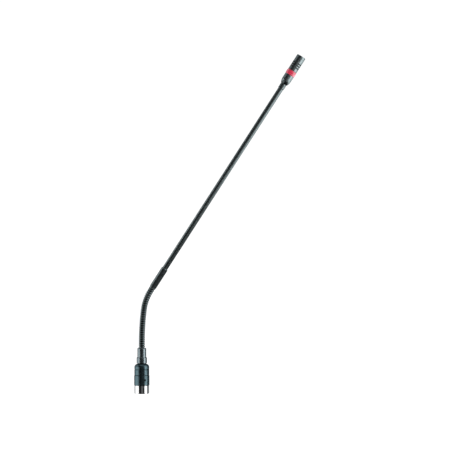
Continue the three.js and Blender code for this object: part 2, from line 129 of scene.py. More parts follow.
Span = namedtuple("Span", "bottom top inner outer")
Pin = namedtuple("Pin", "x y bottom top radius")


# ---- Centreline and axes ----

def neck_at(station):
    """Where the centreline is at a station, in millimetres, and how far it leans towards +X."""
    x, z, lean = 0.0, min(station, FIRST_BEND), 0.0
    left = max(station - FIRST_BEND, 0.0)
    for radius, turn in BENDS:
        further = lean + min(left / radius, turn)
        x += radius * (math.cos(lean) - math.cos(further))
        z += radius * (math.sin(further) - math.sin(lean))
        left -= (further - lean) * radius
        lean = further
    return x + left * math.sin(lean), z + left * math.cos(lean), lean


def neck_point(station):
    x, z, _ = neck_at(station)
    return Vector((x, 0, z)) * MM


class Axis:
    """A straight line that turned pieces lie on, with stations counted along it."""

    def __init__(self, origin, direction):
        turn = Vector((0, 0, 1)).rotation_difference(Vector(direction))
        self.matrix = Matrix.Translation(origin) @ turn.to_matrix().to_4x4()
        self.inverse = self.matrix.inverted()

    def span(self, node):
        """How far a CAD node reaches along this axis and out from it, in millimetres."""
        vertices = frame["nodes"][node].data.vertices
        points = np.array([self.inverse @ vertex.co for vertex in vertices]) / MM
        radii = np.hypot(points[:, 0], points[:, 1])
        sizes = points[:, 2].min(), points[:, 2].max(), radii.min(), radii.max()
        return Span(*(round(float(size), 3) for size in sizes))


def upper_axis():
    """The straight upper part, with station 0 where it would start if it ran on down."""
    mount = next(m for m in record["mounts"] if m["name"] == "head_front_rim")
    direction = Vector(mount["axis"]).normalized()
    return Axis(neck_point(COIL_TOP) - direction * COIL_TOP * MM, direction)


line_of = {"foot": Axis((0, 0, 0), (0, 0, 1)), "head": upper_axis()}


def span(node, body=None):
    """How far a CAD node reaches along its body's line, or another body's."""
    return line_of[body or body_of[node]].span(node)


# ---- Outlines ----

def corner_arc(before, corner, after, radius):
    """A corner's arc with a support point on either side, each as (x, z, how worn it is)."""
    nearly_straight, largest_share, support, room = 0.02, 0.45, 1.5, 3.2
    to_before, to_after = before - corner, after - corner
    reach = min(to_before.length, to_after.length)
    u, v = to_before.normalized(), to_after.normalized()
    opening = u.angle(v)
    if math.pi - opening < nearly_straight:
        return [(*corner, 0.0)]
    tangent = min(radius / math.tan(opening / 2), largest_share * reach)
    radius = tangent * math.tan(opening / 2)
    convex = to_before.cross(to_after) < 0
    middle = corner + (u + v).normalized() * radius / math.sin(opening / 2)
    start, end = corner + u * tangent, corner + v * tangent
    first = (start - middle).to_tuple()
    sweep = math.pi - opening if convex else opening - math.pi
    points = []
    if to_before.length > room * tangent:
        points.append((*(corner + u * tangent * support), 0.0))
    for step in range(ARC_STEPS + 1):
        angle = sweep * step / ARC_STEPS
        x = middle.x + first[0] * math.cos(angle) - first[1] * math.sin(angle)
        z = middle.y + first[0] * math.sin(angle) + first[1] * math.cos(angle)
        points.append((x, z, 1.0 if convex else 0.0))
    points[-1] = (*end, points[-1][2])
    if to_after.length > room * tangent:
        points.append((*(corner + v * tangent * support), 0.0))
    return points


def rounded(outline):
    """An anticlockwise outline of (x, z) or (x, z, radius) points, with its corners rounded."""
    corners = [Vector(point[:2]) for point in outline]
    points = []
    for index, point in enumerate(outline):
        if len(point) == 2:
            points.append((*point, 0.0))
            continue
        before, after = corners[index - 1], corners[(index + 1) % len(corners)]
        points += corner_arc(before, corners[index], after, point[2])
    return points


def ring_outline(ring, inside, below, above):
    """A plain ring's section, rounded inside and at its lower and upper outer edges."""
    return [
        (ring.inner, ring.bottom, inside),
        (ring.outer, ring.bottom, below),
        (ring.outer, ring.top, above),
        (ring.inner, ring.top, inside),
    ]


def hexagon(radius):
    return [(radius * math.cos(a), radius * math.sin(a)) for a in np.radians(range(0, 360, 60))]


def arc(centre, radius, start, end, steps):
    """Points on an arc, between two angles in degrees."""
    return [
        (centre[0] + radius * math.cos(angle), centre[1] + radius * math.sin(angle))
        for angle in np.radians(np.linspace(start, end, steps + 1))
    ]


# ---- Meshes ----

def turned_mesh(name, outline, segments=SEGMENTS):
    """Revolves an outline about Z. One that starts and ends on the axis isn't closed on itself."""
    points = rounded(outline)
    open_ended = points[0][0] == 0 and points[-1][0] == 0
    widest = max(point[0] for point in points)
    shape = bmesh.new()
    worn = shape.verts.layers.float.new("wear")
    unrolled = shape.loops.layers.uv.new("unrolled")
    rows = []
    for x, z, wear in points:
        row = []
        for column in range(1 if x == 0 else segments):
            angle = 2 * math.pi * column / segments
            spot = (x * MM * math.cos(angle), x * MM * math.sin(angle), z * MM)
            row.append(shape.verts.new(spot))
            row[-1][worn] = wear
        rows.append(row)
    lengths = [0.0]
    closed_points = points if open_ended else [*points, points[0]]
    for low, high in zip(closed_points, closed_points[1:]):
        lengths.append(lengths[-1] + math.dist(low[:2], high[:2]))
    for index, (low, high) in enumerate(zip(rows, rows[1:] if open_ended else [*rows[1:], rows[0]])):
        for column in range(segments):
            corners, places = [], []
            for row, turn, upper in ((low, 0, 0), (low, 1, 0), (high, 1, 1), (high, 0, 1)):
                vertex = row[(column + turn) % len(row)]
                if vertex not in corners:
                    along = (column + turn) / segments * 2 * math.pi * widest * MM
                    corners.append(vertex)
                    places.append((along, lengths[index + upper] * MM))
            face = shape.faces.new(corners)
            for loop, place in zip(face.loops, places):
                loop[unrolled].uv = place
    return finished(shape, name)


def finished(shape, name, sharp_above=38.0):
    """A bmesh as a mesh with its normals outward, smooth except across its sharp edges."""
    bmesh.ops.recalc_face_normals(shape, faces=shape.faces)
    for face in shape.faces:
        face.smooth = True
    limit = math.radians(sharp_above)
    for edge in shape.edges:
        edge.smooth = len(edge.link_faces) == 2 and edge.calc_face_angle(0) < limit
    mesh = bpy.data.meshes.new(name)
    shape.to_mesh(mesh)
    shape.free()
    return mesh


def as_object(name, mesh):
    piece = bpy.data.objects.new(name, mesh)
    bpy.context.scene.collection.objects.link(piece)
    return piece


def join(name, meshes):
    shape = bmesh.new()
    for mesh, matrix in meshes:
        part = mesh.copy()
        part.transform(matrix)
        shape.from_mesh(part)
        bpy.data.meshes.remove(part)
    return finished(shape, name)


def cut(mesh, cutters):
    """The mesh with the cutters, a list of (mesh, matrix), taken out of it."""
    piece = as_object("being_cut", mesh)
    tool = as_object("cutter", join("cutter", cutters))
    step = piece.modifiers.new("cut", "BOOLEAN")
    step.operation, step.solver, step.object = "DIFFERENCE", "EXACT", tool
    graph = bpy.context.evaluated_depsgraph_get()
    result = bpy.data.meshes.new_from_object(
        piece.evaluated_get(graph), preserve_all_data_layers=True, depsgraph=graph)
    for used in (piece, tool):
        bpy.data.objects.remove(used)
    shape = bmesh.new()
    shape.from_mesh(result)
    bmesh.ops.dissolve_degenerate(shape, edges=shape.edges, dist=0.002 * MM)
    return finished(shape, mesh.name)


def bridge(shape, rings):
    """Joins each ring of vertices to the next one with quads."""
    for low, high in zip(rings, rings[1:]):
        for index in range(len(low)):
            following = (index + 1) % len(low)
            shape.faces.new((low[index], low[following], high[following], high[index]))


def prism_mesh(name, corners, bottom, top):
    """Extrudes a flat outline of (x, y) points up Z."""
    shape = bmesh.new()
    ends = [[shape.verts.new((x * MM, y * MM, z * MM)) for x, y in corners] for z in (bottom, top)]
    shape.faces.new(reversed(ends[0]))
    shape.faces.new(ends[1])
    bridge(shape, ends)
    return finished(shape, name)


def moved(x=0.0, y=0.0, z=0.0):
    return Matrix.Translation(Vector((x, y, z)) * MM)


def spoke(height, angle):
    """Turns Z outwards, at a height and at an angle from +X in degrees."""
    return (
        moved(z=height)
        @ Matrix.Rotation(math.radians(angle), 4, "Z")
        @ Matrix.Rotation(math.pi / 2, 4, "Y")
    )


# ---- Materials ----

class Nodes:
    """A node tree, with the steps that its shaders are built from."""

    def __init__(self, owner):
        owner.use_nodes = True
        self.nodes = owner.node_tree.nodes
        self.links = owner.node_tree.links

    def node(self, kind, **settings):
        made = self.nodes.new(kind)
        for name, value in settings.items():
            setattr(made, name, value)
        return made

    def feed(self, sockets, values):
        """Sets each socket to its value, or links it where that is another node's output."""
        for socket, value in zip(sockets, values):
            if isinstance(value, bpy.types.NodeSocket):
                self.links.new(value, socket)
            else:
                socket.default_value = value

    def math(self, operation, *values):
        step = self.node("ShaderNodeMath", operation=operation)
        self.feed(step.inputs, values)
        return step.outputs[0]

    def between(self, value, low, high, start=0.0, end=1.0):
        """Maps a value from start..end onto low..high, clamped."""
        step = self.node("ShaderNodeMapRange", clamp=True)
        names = ("Value", "From Min", "From Max", "To Min", "To Max")
        self.feed([step.inputs[name] for name in names], (value, start, end, low, high))
        return step.outputs["Result"]

    def mix(self, share, first, second):
        """One colour where share is 0, the other where it is 1."""
        step = self.node("ShaderNodeMix", data_type="RGBA")
        self.feed((step.inputs["Factor"], step.inputs[6], step.inputs[7]), (share, first, second))
        return step.outputs[2]

    def axes(self, coordinate):
        """A texture coordinate's outputs "X", "Y" and "Z"."""
        place = self.node("ShaderNodeTexCoord")
        split = self.node("ShaderNodeSeparateXYZ")
        self.links.new(place.outputs[coordinate], split.inputs[0])
        return split.outputs


surfaces = {}  # the material of each slot


class Surface(Nodes):
    """A node material on one Principled shader, with its textures added step by step."""

    def __init__(self, name, color, **sockets):
        self.material = bpy.data.materials.new(name)
        surfaces[name] = self.material
        super().__init__(self.material)
        self.shader = self.nodes["Principled BSDF"]
        plain = self.node("ShaderNodeRGB")
        self.color = plain.outputs[0]
        self.color.default_value = (*color, 1)
        self.normal = None
        for socket, value in sockets.items():
            self.shader.inputs[socket.replace("_", " ")].default_value = value

    def noise(self, size, detail=3.0, stretch=(1, 1, 1), unrolled=False, distortion=0.0):
        """A noise whose features are about size millimetres across."""
        place = self.node("ShaderNodeTexCoord")
        scale = self.node("ShaderNodeMapping")
        scale.inputs["Scale"].default_value = stretch
        self.links.new(place.outputs["UV" if unrolled else "Object"], scale.inputs["Vector"])
        texture = self.node("ShaderNodeTexNoise")
        texture.inputs["Scale"].default_value = 1 / (size * MM)
        texture.inputs["Detail"].default_value = detail
        texture.inputs["Distortion"].default_value = distortion
        self.links.new(scale.outputs[0], texture.inputs["Vector"])
        return texture.outputs["Fac"]

    def cells(self, size, feature="F1"):
        """Round cells about size millimetres apart, dark in their middles."""
        place = self.node("ShaderNodeTexCoord")
        texture = self.node("ShaderNodeTexVoronoi", feature=feature)
        texture.inputs["Scale"].default_value = 1 / (size * MM)
        self.links.new(place.outputs["Object"], texture.inputs["Vector"])
        return texture.outputs["Distance"]

    def weave(self, pitch):
        """Crossing threads, from 0 between them to 1 on top, on the unrolled surface."""
        place = self.axes("UV")
        waves = []
        for axis in ("X", "Y"):
            turn = self.math("MULTIPLY", place[axis], math.pi / (pitch * MM))
            waves.append(self.math("ABSOLUTE", self.math("SINE", turn)))
        return self.math("MAXIMUM", *waves)

    def tint(self, share, color):
        """Mixes a colour over the surface where share is high."""
        self.color = self.mix(share, self.color, (*color, 1))
        return self

    def roughen(self, value, low, high, start=0.3, end=0.7):
        self.links.new(self.between(value, low, high, start, end), self.shader.inputs["Roughness"])
        return self

    def bump(self, height, depth):
        """Raises the surface by up to depth millimetres where height is 1."""
        step = self.node("ShaderNodeBump")
        step.inputs["Strength"].default_value = 1.0
        step.inputs["Distance"].default_value = depth * MM
        self.links.new(height, step.inputs["Height"])
        if self.normal is not None:
            self.links.new(self.normal, step.inputs["Normal"])
        self.normal = step.outputs["Normal"]
        return self

    def worn(self, color, reach=0.45):
        """Shows another colour in patches along the rounded edges."""
        edge = self.node("ShaderNodeAttribute", attribute_name="wear")
        patches = self.between(self.noise(1.1, detail=6), 0.0, reach, 0.42, 0.68)
        return self.tint(self.math("MULTIPLY", edge.outputs["Fac"], patches), color)

    def glow(self, strength, color):
        self.shader.inputs["Emission Color"].default_value = (*color, 1)
        self.links.new(strength, self.shader.inputs["Emission Strength"])
        return self

    def done(self):
        self.links.new(self.color, self.shader.inputs["Base Color"])
        if self.normal is not None:
            self.links.new(self.normal, self.shader.inputs["Normal"])
        return self.material


def toned(color, brightness, lift=0.0):
    return tuple(min(brightness * part + lift, 1) for part in color)


def chrome():
    surface = Surface("chrome_plate", (0.86, 0.865, 0.87), Metallic=1.0)
    smudges = surface.noise(6.0, detail=5, distortion=0.6)
    surface.tint(surface.between(smudges, 0.0, 0.25, 0.45, 0.75), (0.74, 0.74, 0.73))
    surface.roughen(smudges, 0.035, 0.11)
    surface.bump(surface.noise(0.12, detail=2, stretch=(0.02, 1, 1), unrolled=True), 0.0004)
    return surface.bump(surface.noise(9.0, detail=1), 0.004).done()


def turned_coat(name, color, shine, metallic, grain=0.16, roughness=(0.26, 0.38), painted_light=None):
    """A satin coat over turned metal, with fine tool rings, grain, edges worn to another tone, and any
    painted light by height.
    """
    surface = Surface(name, color, Metallic=metallic, Specular_Tint=DULL_EDGE)
    cloudy = surface.noise(5.0, detail=5)
    surface.tint(surface.between(cloudy, 0.0, 0.3, 0.35, 0.75), toned(color, 0.72))
    speckle = surface.between(surface.noise(0.35, detail=2), 0.0, 0.15, 0.6, 0.75)
    surface.tint(speckle, toned(color, 1.3))
    surface.worn(shine)
    # Painted light by height: painted shade or a painted highlight tinted into the colour along the
    # piece
    if painted_light:
        brightness, full, start = painted_light
        share = surface.between(surface.axes("Object")["Z"], 1.0, 0.0, full * MM, start * MM)
        surface.tint(share, toned(color, brightness))
    surface.roughen(surface.noise(2.2, detail=6), *roughness)
    surface.bump(surface.noise(grain, detail=3), 0.0009)
    rings = surface.noise(0.22, detail=2, stretch=(0.01, 0.01, 1))
    return surface.bump(rings, 0.0009).done()


def moulded(name, color, roughness=(0.42, 0.62), grain=0.14, depth=0.008):
    surface = Surface(name, color, Specular_IOR_Level=0.5)
    cloudy = surface.noise(3.5, detail=5)
    surface.tint(surface.between(cloudy, 0.0, 0.6, 0.4, 0.7), toned(color, 1.5))
    surface.worn(toned(color, 2.2, 0.01), 0.6)
    surface.roughen(surface.noise(1.3, detail=4), *roughness)
    surface.bump(surface.noise(grain, detail=4), depth)
    return surface.bump(surface.noise(4.0, detail=1), 0.02).done()


def bare_metal(name, color, tarnish, roughness=(0.16, 0.34)):
    surface = Surface(name, color, Metallic=1.0)
    surface.tint(surface.between(surface.noise(2.4, detail=7), 0.0, 0.7, 0.45, 0.72), tarnish)
    surface.worn(toned(color, 1.2), 0.7)
    surface.roughen(surface.noise(0.9, detail=5), *roughness)
    rings = surface.noise(0.12, detail=2, stretch=(0.02, 0.02, 1))
    return surface.bump(rings, 0.002).done()


def wire_coat():
    """Blackened wire, paler on its crests and dark in its grooves: the crests partly polished and
    partly given a painted highlight, the grooves given painted shade.
    """
    surface = Surface("coil_black", (0.03, 0.038, 0.04), Metallic=1.0, Specular_Tint=DULL_EDGE)
    # Crest tint from the wear attribute: partly polish, partly a painted highlight on the crests, with
    # painted shade left in the grooves
    crest = surface.node("ShaderNodeAttribute", attribute_name="wear").outputs["Fac"]
    polish_and_sheen = surface.between(surface.noise(2.6, detail=6), 0.65, 1.0, 0.3, 0.65)
    surface.tint(surface.math("MULTIPLY", crest, polish_and_sheen), (0.36, 0.44, 0.45))
    surface.roughen(surface.noise(0.8, detail=5), 0.28, 0.4)
    drawn = surface.noise(0.1, detail=2, stretch=(0.04, 1, 1), unrolled=True)
    return surface.bump(drawn, 0.0012).done()


def circuit_board():
    surface = Surface("circuit_board", (0.02, 0.11, 0.045), Coat_Weight=0.6, Coat_Roughness=0.12)
    tracks = surface.between(surface.cells(1.3, "DISTANCE_TO_EDGE"), 1.0, 0.0, 0.0, 0.12)
    surface.tint(tracks, (0.035, 0.2, 0.08))
    pads = surface.between(surface.cells(1.7), 1.0, 0.0, 0.16, 0.2)
    surface.tint(pads, (0.55, 0.5, 0.4))
    surface.roughen(surface.noise(0.8), 0.3, 0.5)
    surface.bump(tracks, 0.02)
    return surface.bump(surface.noise(0.1), 0.003).done()


def lit_ring():
    """Translucent red plastic with a painted sheen, paler where it is seen edge on, and a lamp behind
    each quarter.
    """
    surface = Surface(
        "light_ring_red", (0.46, 0.015, 0.045), Specular_IOR_Level=0.8, Subsurface_Weight=0.3,
        Subsurface_Scale=1.2 * MM, Coat_Weight=0.7, Coat_Roughness=0.1, Coat_IOR=1.8)
    cloudy = surface.noise(3.0, detail=4)
    surface.tint(surface.between(cloudy, 0.0, 0.4, 0.4, 0.7), (0.4, 0.014, 0.036))
    # Painted sheen: paler where the ring is seen edge on, standing in for its reflections
    painted_edge_sheen = surface.node("ShaderNodeLayerWeight").outputs["Facing"]
    surface.tint(surface.between(painted_edge_sheen, 0.0, 0.7, 0.05, 0.5), (0.9, 0.3, 0.39))
    surface.roughen(surface.noise(1.6, detail=4), 0.16, 0.3)
    surface.bump(surface.noise(0.5, detail=3), 0.002)
    place = surface.axes("Object")
    angle = surface.math("ARCTAN2", place["Y"], place["X"])
    lamps = surface.math("COSINE", surface.math("MULTIPLY", angle, 4.0))
    return surface.glow(surface.between(lamps, 0.16, 0.26, -1.0, 1.0), (1.0, 0.07, 0.13)).done()


def lamp():
    surface = Surface("led", (0.85, 0.72, 0.66), Coat_Weight=0.8, Coat_Roughness=0.05)
    core = surface.between(surface.noise(0.5, detail=1), 0.0, 1.0, 0.4, 0.6)
    surface.tint(core, (1.0, 0.25, 0.2))
    surface.roughen(surface.noise(0.4), 0.2, 0.4)
    return surface.glow(core, (1.0, 0.12, 0.1)).done()


def cloth(name, color, pitch):
    surface = Surface(name, color, Sheen_Weight=0.4, Sheen_Roughness=0.5)
    threads = surface.weave(pitch)
    # Painted shade in the gaps between the threads
    surface.tint(surface.between(threads, 0.7, 0.0, 0.3, 0.8), toned(color, 0.3))
    surface.roughen(surface.noise(0.3), 0.8, 0.98)
    surface.bump(threads, 0.03)
    return surface.bump(surface.noise(0.06, detail=2), 0.008).done()


def open_foam():
    surface = Surface("foam", (0.016, 0.016, 0.017), Sheen_Weight=0.3)
    pores = surface.cells(0.28)
    # Painted shade: darker in the middle of each pore
    surface.tint(surface.between(pores, 0.85, 0.0, 0.1, 0.45), (0.002, 0.002, 0.002))
    surface.roughen(surface.noise(0.3), 0.85, 1.0)
    return surface.bump(pores, 0.12).done()


def make_surfaces():
    """One material for each of the record's slots."""
    black_metal = {"metallic": 1.0, "roughness": (0.26, 0.36)}
    gunmetal = {"metallic": 1.0, "roughness": (0.22, 0.3)}
    chrome()
    moulded("insert_plastic", (0.013, 0.014, 0.015))
    bare_metal("contact_metal", (0.78, 0.75, 0.69), (0.5, 0.44, 0.34))
    bare_metal("brass", (0.72, 0.5, 0.2), (0.36, 0.22, 0.09))
    turned_coat("housing_black", (0.104, 0.162, 0.182), (0.14, 0.2, 0.22), **black_metal)
    bare_metal("screw_steel", (0.012, 0.013, 0.014), (0.006, 0.006, 0.006), (0.4, 0.55))
    circuit_board()
    bare_metal("can_metal", (0.72, 0.72, 0.72), (0.5, 0.5, 0.48))
    moulded("rubber", (0.011, 0.011, 0.012), (0.7, 0.9), grain=0.25, depth=0.02)
    turned_coat("ferrule_gunmetal", (0.22, 0.265, 0.28), (0.5, 0.54, 0.55), **gunmetal)
    wire_coat()
    moulded("cable_jacket", (0.02, 0.02, 0.022), (0.55, 0.7), grain=0.2, depth=0.01)
    # A painted highlight makes the tube's coat paler towards its top
    turned_coat("tube_black", (0.2, 0.24, 0.245), (0.36, 0.4, 0.41), painted_light=PAINTED_HIGHLIGHT_TUBE, **black_metal)
    # Painted shade darkens the head's lower taper
    turned_coat("head_black", (0.4, 0.48, 0.49), (0.55, 0.62, 0.63), painted_light=PAINTED_SHADE_TAPER, **black_metal)
    lit_ring()
    lamp()
    cloth("screen_cloth", (0.012, 0.012, 0.013), 0.3)
    open_foam()
    turned_coat("grille_black", (0.02, 0.024, 0.026), (0.1, 0.11, 0.12), metallic=0.5)


make_surfaces()


# ---- Placing ----

def dress(piece, slot):
    piece.data.materials.clear()
    piece.data.materials.append(surfaces[slot])


def stand_in(name, mesh, *nodes):
    """A fine piece in the place of CAD nodes, with the first one's finish, but on no body yet."""
    piece = as_object(name, mesh)
    slot = slots[nodes[0]]
    dress(piece, slot)
    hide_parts(*nodes)
    return piece


def stand_for(name, mesh, node, line=None):
    """A fine piece in the place of a CAD node, made round Z and moved to its body and its line."""
    body = body_of[node]
    piece = stand_in(name, mesh, node)
    piece.matrix_world = (line or line_of[body]).matrix
    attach(piece, body)


def add_turned(name, node, outline, segments=SEGMENTS, cutters=(), line=None):
    """A turned piece in the place of a CAD node, with any cutters taken out of it."""
    mesh = turned_mesh(name, outline, segments)
    if cutters:
        mesh = cut(mesh, cutters)
    stand_for(name, mesh, node, line)


# ---- Plug ----

def add_barrel():
    barrel = span("plug_barrel")
    shell = span("housing_lower_shell")
    lip, neck = shell.bottom - GAP, shell.inner - GAP
    half_width, depth, length = 1.7, 0.7, 9.0
    keyway = [(-half_width, 0), (half_width, 0), (half_width, 2 * depth), (-half_width, 2 * depth)]
    way = prism_mesh("keyway", keyway, -CUT_PAST, length)
    add_turned("barrel", "plug_barrel", [
        (barrel.inner, 0.0, 0.3),
        (barrel.outer, 0.0, 0.45),
        (barrel.outer, lip, 0.12),
        (neck, lip, 0.08),
        (neck, barrel.top, 0.15),
        (barrel.inner, barrel.top, 0.1),
    ], cutters=[(way, moved(y=barrel.inner - depth))])


def contact_pins():
    """The three contacts by number, in millimetres."""
    pins = {}
    for index in (1, 2, 3):
        low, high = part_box(f"contact_pin_{index}")
        middle = (low + high) / 2 / MM
        radius = (high.x - low.x) / MM / 2
        pins[index] = Pin(middle.x, middle.y, low.z / MM, high.z / MM, radius)
    return pins


def add_insert():
    """A moulded disc with a raised rim and a dished seat round each contact."""
    body = span("plug_insert")
    barrel = span("plug_barrel")
    face = barrel.inner - GAP
    step, rim, dish = barrel.top + GAP, 0.9, 0.25
    pins = contact_pins()
    radius = pins[1].radius
    mouth, seat, hole = radius + 0.9, radius + 0.75, radius + 0.06
    seat_floor = body.bottom + dish + 0.35
    bore = turned_mesh("bore", [
        (0.0, body.bottom - CUT_PAST),
        (mouth, body.bottom - CUT_PAST),
        (seat, seat_floor, 0.1),
        (hole, seat_floor, 0.05),
        (hole, body.top + CUT_PAST),
        (0.0, body.top + CUT_PAST),
    ], SMALL_SEGMENTS)
    add_turned("insert", "plug_insert", [
        (0.0, body.bottom + dish),
        (face - rim, body.bottom + dish, 0.15),
        (face - rim + dish, body.bottom, 0.1),
        (face, body.bottom, 0.2),
        (face, step, 0.08),
        (body.outer, step, 0.1),
        (body.outer, body.top, 0.2),
        (0.0, body.top),
    ], cutters=[(bore, moved(pin.x, pin.y)) for pin in pins.values()])


def add_pins():
    """Round-nosed contacts whose tails end in solder cups."""
    shoulder = span("plug_insert").top + GAP
    flat, tail, cup, cup_depth = 0.25, 0.8, 0.55, 2.2
    for index, pin in contact_pins().items():
        nose = pin.radius - flat
        line = Axis((pin.x * MM, pin.y * MM, 0), (0, 0, 1))
        add_turned(f"pin_{index}", f"contact_pin_{index}", [
            (0.0, pin.bottom),
            *arc((flat, pin.bottom + nose), nose, -90, 0, 10),
            (pin.radius, shoulder, 0.1),
            (tail, shoulder, 0.08),
            (tail, pin.top, 0.08),
            (cup, pin.top, 0.05),
            (cup, pin.top - cup_depth, 0.2),
            (0.0, pin.top - cup_depth),
        ], SMALL_SEGMENTS, line=line)


# ---- Housing ----

def add_lower_shell():
    """The shell with the hole of its lock screw, and the screw in it."""
    shell = span("housing_lower_shell")
    screw = span("lock_screw")
    outwards = spoke((screw.bottom + screw.top) / 2, SCREW_ANGLE)
    hole, flare, flare_depth, past = 1.35, 0.35, 0.28, 0.12
    drill = turned_mesh("drill", [
        (0.0, shell.inner - CUT_PAST),
        (hole, shell.inner - CUT_PAST),
        (hole, shell.outer - flare_depth),
        (hole + flare, shell.outer + past),
        (0.0, shell.outer + past),
    ], SMALL_SEGMENTS)
    add_turned("lower_shell", "housing_lower_shell", [
        (shell.inner, shell.bottom, 0.15),
        (shell.outer, shell.bottom, 0.35),
        (shell.outer, shell.top, 0.5),
        (shell.inner, shell.top, 0.12),
    ], cutters=[(drill, outwards)])

    radius = (screw.top - screw.bottom) / 2
    inner, outer, key, key_depth, above = 7.3, 8.9, 0.42, 0.7, 0.5
    body = turned_mesh("screw", [
        (0.0, inner),
        (radius, inner, 0.15),
        (radius, outer, 0.12),
        (0.0, outer),
    ], SMALL_SEGMENTS)
    socket = prism_mesh("socket", hexagon(key), outer - key_depth, outer + above)
    body = cut(body, [(socket, IN_PLACE)])
    body.transform(outwards)
    stand_for("screw", body, "lock_screw")


def add_ring_and_cap():
    ring = span("housing_ring")
    add_turned("middle_ring", "housing_ring", ring_outline(ring, 0.12, 0.5, 0.55))

    cap = span("housing_cap")
    spigot = ring.inner - GAP
    bore, cone, shoulder, turn, flat = 7.6, 2.3, 4.3, 72, 6.3
    seat = ring.top + GAP
    ceiling = cap.top - 1.8
    add_turned("cap", "housing_cap", [
        (bore, cap.bottom, 0.15),
        (spigot, cap.bottom, 0.2),
        (spigot, seat, 0.08),
        (cap.outer, seat, 0.55),
        *arc((cap.outer - shoulder, cap.top - shoulder), shoulder, 0, turn, 20),
        (flat, cap.top, 0.12),
        (cap.inner, cap.top, 0.1),
        (cap.inner, ceiling, 0.1),
        (flat, ceiling, 0.2),
        (bore, ceiling - cone, 0.3),
    ])


# ---- Ferrule ----

def add_ferrule():
    washer = span("ferrule_washer")
    add_turned("washer", "ferrule_washer", ring_outline(washer, 0.12, 0.16, 0.16))

    ferrule = span("neck_ferrule")
    tail = washer.inner - GAP
    foot, step, seat = washer.top + GAP / 2, 46.7, 43.2
    bore, bevel, bevel_height = 4.3, 0.4, 0.45
    add_turned("ferrule", "neck_ferrule", [
        (ferrule.inner, ferrule.bottom, 0.15),
        (tail, ferrule.bottom, 0.25),
        (tail, foot, 0.1),
        (ferrule.outer, foot, 0.3),
        (ferrule.outer, step - bevel_height, 0.12),
        (ferrule.outer - bevel, step, 0.1),
        (washer.outer, step, 0.1),
        (washer.outer, ferrule.top - bevel_height, 0.12),
        (washer.outer - bevel, ferrule.top, 0.1),
        (bore, ferrule.top, 0.15),
        (bore, seat, 0.2),
        (ferrule.inner, seat, 0.15),
    ])


def add_nut():
    nut = span("ferrule_nut")
    mesh = prism_mesh("nut", hexagon(nut.outer), nut.bottom, nut.top)
    mouth, bevel = nut.inner + 1.4, 0.4
    bore = turned_mesh("nut_bore", [
        (0.0, nut.bottom - CUT_PAST),
        (mouth, nut.bottom - CUT_PAST),
        (nut.inner, nut.bottom + bevel),
        (nut.inner, nut.top - bevel),
        (mouth, nut.top + CUT_PAST),
        (0.0, nut.top + CUT_PAST),
    ], SMALL_SEGMENTS)
    edge, slope, beyond = nut.outer - 0.55, 1.2, nut.outer + 1.45
    skirt = turned_mesh("nut_skirt", [
        (edge, nut.bottom - 0.01),
        (beyond, nut.bottom - 0.01),
        (beyond, nut.bottom + slope),
    ], SMALL_SEGMENTS)
    flip = moved(z=nut.bottom + nut.top) @ Matrix.Rotation(math.pi, 4, "X")
    mesh = cut(mesh, [(bore, IN_PLACE), (skirt, IN_PLACE), (skirt, flip)])
    stand_for("nut", mesh, "ferrule_nut")


# ---- Neck ----

def wire_height(share):
    """How far the wound wires stand proud at a share of one turn, and how far their crest tint reaches
    there: partly polish, partly a painted highlight.
    """
    offset = abs((share + 0.5) % 1 - 0.5) * COIL_PITCH
    round_radius, half = ROUND_WIRE["radius"], ROUND_WIRE["half_width"]
    if offset < half:
        height = COIL_RADIUS - round_radius + math.sqrt(round_radius ** 2 - offset ** 2)
        return height, max(0.0, 1 - (offset / half) ** 4)
    offset = COIL_PITCH / 2 - offset
    if offset < FLAT_WIRE["half_width"]:
        fall = FLAT_WIRE["fall"] * (offset / FLAT_WIRE["half_width"]) ** 2
        return COIL_RADIUS - FLAT_WIRE["depth"] - fall, 0.1
    return COIL_RADIUS - GROOVE_DEPTH, 0.0


def swept_mesh(name, bottom, top, rows, columns, skin, inner):
    """A closed sleeve along the centreline, or a closed rod where inner is 0.

    skin(station, share of a turn) gives its outer radius and its wear there; on the coil that is
    the crests' paler tint, partly polish and partly a painted highlight."""
    shape = bmesh.new()
    worn = shape.verts.layers.float.new("wear")
    unrolled = shape.loops.layers.uv.new("unrolled")
    outside = [bottom + (top - bottom) * row / rows for row in range(rows + 1)]
    loops = [(station, False) for station in outside]
    if inner:
        every = 4
        loops += [(station, True) for station in reversed(outside[::every] + outside[-1:])]
    rings = []
    for station, inside in loops:
        x, z, lean = neck_at(station)
        ring = []
        for column in range(columns):
            share = column / columns
            angle = 2 * math.pi * share
            radius, wear = (inner, 0.0) if inside else skin(station, share)
            across, along = radius * math.cos(angle), radius * math.sin(angle)
            spot = Vector((x + across * math.cos(lean), along, z - across * math.sin(lean)))
            ring.append(shape.verts.new(spot * MM))
            ring[-1][worn] = wear
        rings.append((station, ring))
    pairs = list(zip(rings, rings[1:] + rings[:1])) if inner else list(zip(rings, rings[1:]))
    around = 2 * math.pi * COIL_RADIUS * MM
    for low, high in pairs:
        for column in range(columns):
            spots = ((low, column), (low, column + 1), (high, column + 1), (high, column))
            face = shape.faces.new([ring[turn % columns] for (_, ring), turn in spots])
            for loop, ((station, _), turn) in zip(face.loops, spots):
                loop[unrolled].uv = (turn / columns * around, station * MM)
    if not inner:
        shape.faces.new(reversed(rings[0][1]))
        shape.faces.new(rings[-1][1])
    return finished(shape, name, sharp_above=70)


def coil_skin(station, share):
    return wire_height(station / COIL_PITCH - share)


def spigot_skin(station, share):
    return coil_skin(station, share)[0] + SPIGOT_RADIUS - COIL_RADIUS, 0.0


def cable_skin(_station, _share):
    return CABLE_RADIUS, 0.0


def neck_bodies():
    """The bodies up the neck, from the foot to the head."""
    follows = {joint["parent"]: joint["child"] for joint in behaviour["joints"]}
    chain = ["foot"]
    while chain[-1] in follows:
        chain.append(follows[chain[-1]])
    return chain


